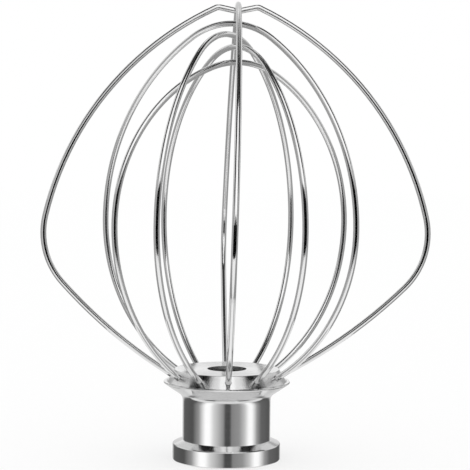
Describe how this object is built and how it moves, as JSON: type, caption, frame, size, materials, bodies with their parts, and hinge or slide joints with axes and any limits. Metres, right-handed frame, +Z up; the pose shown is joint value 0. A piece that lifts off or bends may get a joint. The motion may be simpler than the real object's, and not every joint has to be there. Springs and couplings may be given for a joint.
{
  "type": "stand mixer wire whisk",
  "caption": "Balloon whisk for a stand mixer: nested steel wire loops rise from a conical cap on a turned, flanged hub, whose bayonet socket locks onto the drive shaft.",
  "frame": {"origin": "centre of the flange's flat face, on the hub's axis, at the mouth of the shaft socket", "axes": "+Z up the hub's axis towards the crowns of the loops, +X in the plane of the outer loop whose crown dips, +Y towards the entry slot for the shaft's cross pin"},
  "size_m": [0.131, 0.131, 0.1534],
  "materials": {
    "hub_steel": "polished",
    "cap_steel": "polished",
    "wire_steel": "polished"
  },
  "bodies": {
    "root": {"hub_body": "hub_steel", "hub_cap": "cap_steel", "outer_wire_under": "wire_steel", "outer_wire_over": "wire_steel", "inner_wire_1": "wire_steel", "inner_wire_2": "wire_steel", "inner_wire_3": "wire_steel", "inner_wire_4": "wire_steel"}
  },
  "joints": []
}
